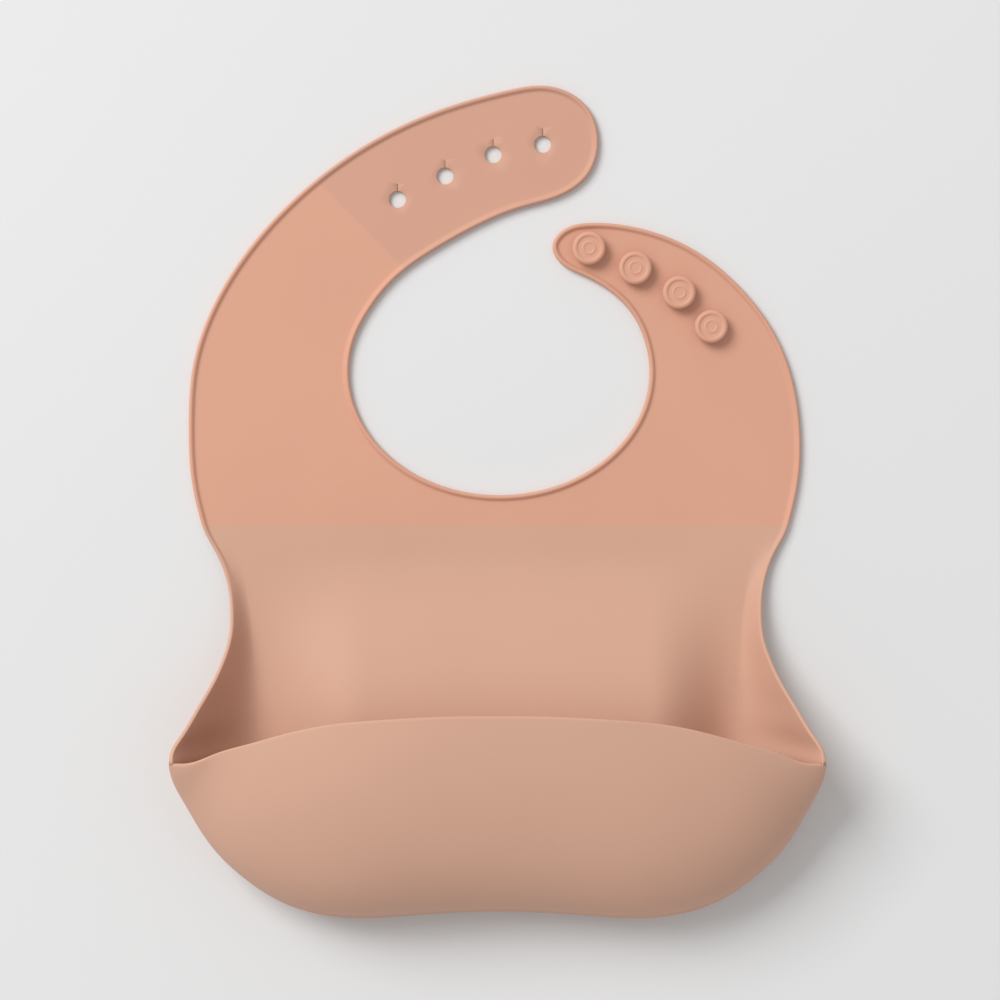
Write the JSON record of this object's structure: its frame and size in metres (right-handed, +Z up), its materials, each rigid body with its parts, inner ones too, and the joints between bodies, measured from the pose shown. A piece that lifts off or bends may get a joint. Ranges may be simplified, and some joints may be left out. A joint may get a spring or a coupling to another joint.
{
  "type": "silicone bib",
  "caption": "Moulded silicone baby bib with a scoop pocket, and straps that fasten behind the neck by studs pressed into holes; lies flat on its back.",
  "frame": {"origin": "on the surface that the bib lies on, under the middle of its bounding box", "axes": "+Z up from the surface, out of the bib's front face; +Y from the pocket towards the neck; +X to the right, seen from above"},
  "size_m": [0.229, 0.297, 0.0505],
  "materials": {
    "silicone_sheet": "matte soft-touch silicone, warm peach clay",
    "silicone_pocket": "matte soft-touch silicone, warm peach clay",
    "silicone_bead": "matte soft-touch silicone, warm peach clay",
    "silicone_stud": "matte soft-touch silicone, warm peach clay"
  },
  "bodies": {
    "pocket_base": {"lower_panel": "silicone_pocket", "left_gusset": "silicone_pocket", "right_gusset": "silicone_pocket", "pocket_bottom": "silicone_pocket", "left_gusset_bead": "silicone_bead", "right_gusset_bead": "silicone_bead"},
    "pocket_front": {"front_wall": "silicone_pocket", "pocket_lip": "silicone_bead"},
    "chest": {"chest_panel": "silicone_sheet", "chest_left_bead": "silicone_bead", "chest_right_bead": "silicone_bead", "neckline_bead": "silicone_bead"},
    "hole_strap_root": {"hole_strap_root": "silicone_sheet", "hole_strap_root_bead": "silicone_bead"},
    "hole_strap_middle": {"hole_strap_middle": "silicone_sheet", "hole_strap_middle_bead": "silicone_bead"},
    "hole_strap_tip": {"hole_strap_tip": "silicone_sheet", "hole_strap_tip_bead": "silicone_bead"},
    "stud_strap_root": {"stud_strap_root": "silicone_sheet", "stud_strap_root_bead": "silicone_bead", "stud_3": "silicone_stud", "stud_4": "silicone_stud"},
    "stud_strap_tip": {"stud_strap_tip": "silicone_sheet", "stud_strap_tip_bead": "silicone_bead", "stud_1": "silicone_stud", "stud_2": "silicone_stud"}
  },
  "joints": [
    {"name": "waist_fold", "type": "hinge", "parent": "pocket_base", "child": "chest", "pos_m": [0, -0.009, 0.0026], "axis": [1, 0, 0], "range_deg": [0, 90], "stiffness_Nm_per_rad": 0.006},
    {"name": "pocket_flex", "type": "hinge", "parent": "pocket_base", "child": "pocket_front", "pos_m": [0, -0.1497, 0.01], "axis": [1, 0, 0], "range_deg": [0, 20], "stiffness_Nm_per_rad": 0.05},
    {"name": "hole_strap_curl", "type": "hinge", "parent": "chest", "child": "hole_strap_root", "pos_m": [-0.0723, 0.07568, 0.0026], "axis": [0.9397, -0.342, 0], "range_deg": [0, 30], "stiffness_Nm_per_rad": 0.003},
    {"name": "hole_strap_curl_middle", "type": "hinge", "parent": "hole_strap_root", "child": "hole_strap_middle", "pos_m": [-0.05133, 0.10133, 0.0026], "axis": [0.7071, -0.7071, 0], "range_deg": [0, 30], "stiffness_Nm_per_rad": 0.003},
    {"name": "hole_strap_curl_tip", "type": "hinge", "parent": "hole_strap_middle", "child": "hole_strap_tip", "pos_m": [-0.0291, 0.1166, 0.0026], "axis": [0.4067, -0.9135, 0], "range_deg": [0, 30], "stiffness_Nm_per_rad": 0.003},
    {"name": "stud_strap_curl", "type": "hinge", "parent": "chest", "child": "stud_strap_root", "pos_m": [0.07899, 0.04764, 0.0026], "axis": [0.9998, -0.0175, 0], "range_deg": [0, 30], "stiffness_Nm_per_rad": 0.003},
    {"name": "stud_strap_curl_tip", "type": "hinge", "parent": "stud_strap_root", "child": "stud_strap_tip", "pos_m": [0.05523, 0.07906, 0.0026], "axis": [0.8746, 0.4848, 0], "range_deg": [0, 30], "stiffness_Nm_per_rad": 0.003}
  ],
  "couplings": [
    {"joint": "hole_strap_curl_middle", "follows": "hole_strap_curl", "ratio": 1},
    {"joint": "hole_strap_curl_tip", "follows": "hole_strap_curl", "ratio": 1},
    {"joint": "stud_strap_curl_tip", "follows": "stud_strap_curl", "ratio": 1}
  ]
}
